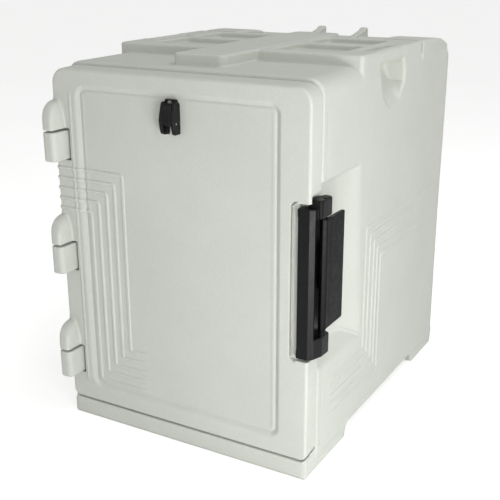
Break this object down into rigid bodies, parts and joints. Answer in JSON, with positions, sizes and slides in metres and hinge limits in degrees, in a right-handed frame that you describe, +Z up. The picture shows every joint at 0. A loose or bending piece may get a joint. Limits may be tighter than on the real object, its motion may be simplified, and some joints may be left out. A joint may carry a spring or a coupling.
{
  "type": "insulated food carrier",
  "caption": "Insulated front-loading food pan carrier: hinged door with gasket, edge latch, flip vent, carrying handles and a raised cross on the top.",
  "frame": {"origin": "on the floor, under the middle of the carrier between the door front and the back", "axes": "+Z up; the door faces -Y; hinges on the -X side and latch on the +X side"},
  "size_m": [0.4784, 0.643, 0.6385],
  "materials": {
    "polyethylene": "speckled pale grey-green rotomoulded polyethylene, slightly pebbled",
    "foam": "closed-cell polyurethane foam",
    "black_nylon": "moulded glass-filled nylon, satin",
    "steel": "stainless steel, brushed",
    "brass": "machined brass",
    "gasket_rubber": "soft extruded rubber"
  },
  "bodies": {
    "body": {"body_shell": "polyethylene", "body_foam": "foam", "body_fill_plug": "polyethylene", "latch_keeper": "black_nylon", "keeper_screws": "steel", "keeper_inserts": "brass", "hinge_pins": "steel"},
    "door": {"door_shell": "polyethylene", "door_foam": "foam", "door_gasket": "gasket_rubber", "door_fill_plug": "polyethylene", "hinge_bushes": "black_nylon", "latch_bracket": "black_nylon", "latch_screws": "steel", "latch_inserts": "brass", "latch_pin": "steel", "vent_housing": "black_nylon", "vent_screws": "steel", "vent_tube": "black_nylon", "vent_pin": "steel"},
    "paddle": {"latch_paddle": "black_nylon"},
    "vent": {"vent_lever": "black_nylon", "vent_plug": "gasket_rubber"}
  },
  "joints": [
    {"name": "door_hinge", "type": "hinge", "parent": "body", "child": "door", "pos_m": [-0.2195, -0.323, 0.323], "axis": [0, 0, -1], "range_deg": [0, 250]},
    {"name": "latch_pull", "type": "hinge", "parent": "door", "child": "paddle", "pos_m": [0.24, -0.279, 0.332], "axis": [0, 0, -1], "range_deg": [0, 105]},
    {"name": "vent_flip", "type": "hinge", "parent": "door", "child": "vent", "pos_m": [0, -0.312, 0.542], "axis": [1, 0, 0], "range_deg": [0, 85]}
  ]
}
